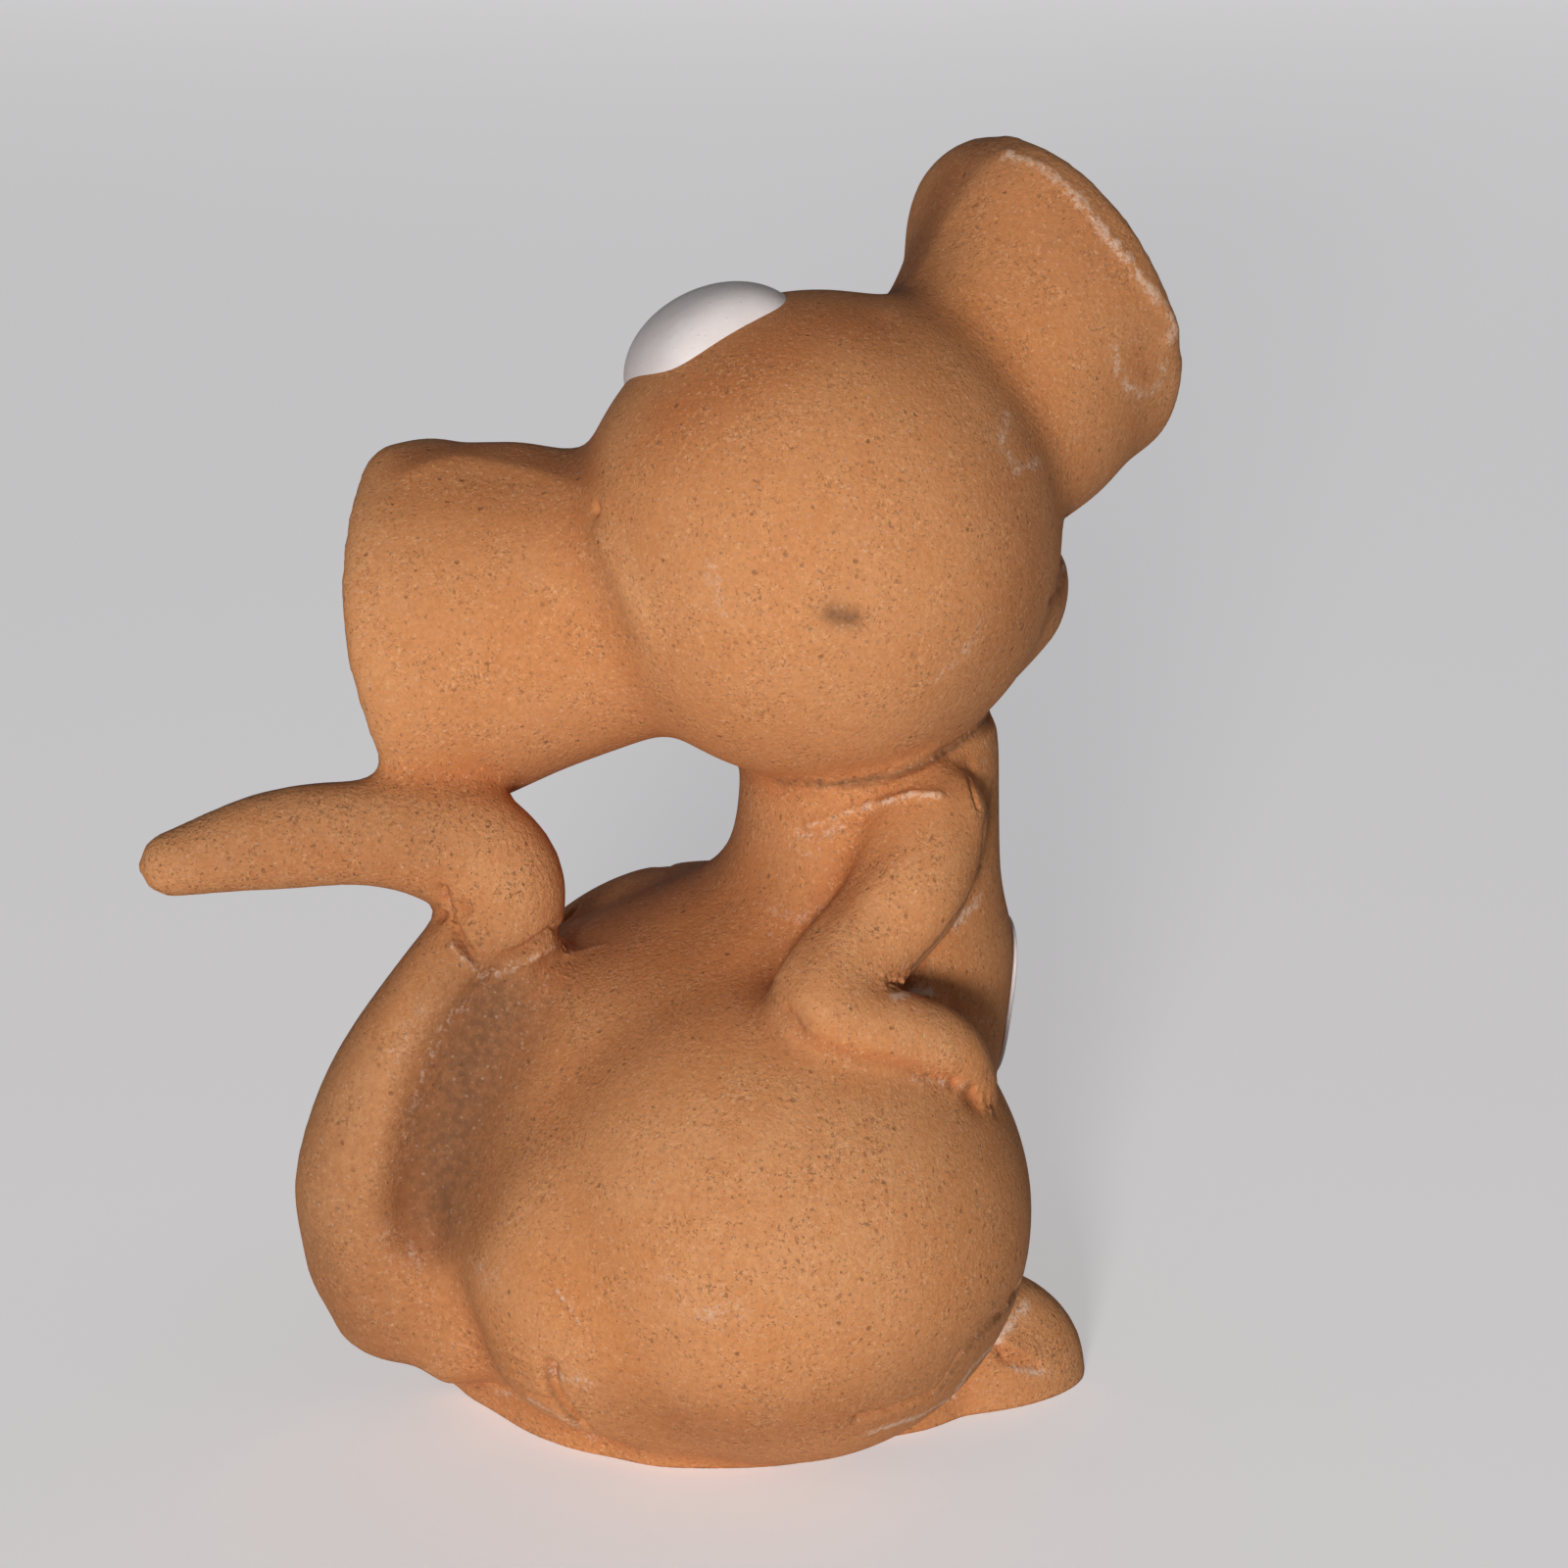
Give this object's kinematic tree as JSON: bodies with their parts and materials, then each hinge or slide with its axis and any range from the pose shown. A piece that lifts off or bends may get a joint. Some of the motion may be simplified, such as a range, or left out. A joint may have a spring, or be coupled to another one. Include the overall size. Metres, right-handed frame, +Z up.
{
  "type": "mouse figurine",
  "caption": "Hand-modelled terracotta mouse, seated, with its head turned over the shoulder, big cupped ears, white clay eyes and a tail bent back from the spine",
  "frame": {"origin": "on the flat underside, under the middle of the body, at mount base", "axes": "+Z up, the body faces -Y, the tail points to +Y, the head is turned over the left shoulder towards +X"},
  "size_m": [0.0476, 0.0621, 0.0739],
  "materials": {
    "terracotta": "unglazed matt bisque with fine sand and pits",
    "white_clay_eyes": "smooth matt white clay",
    "white_clay_patch": "matt white clay skin"
  },
  "bodies": {
    "root": {"clay_figure": "terracotta", "eye_whites": "white_clay_eyes", "tummy_patch": "white_clay_patch"}
  },
  "joints": []
}
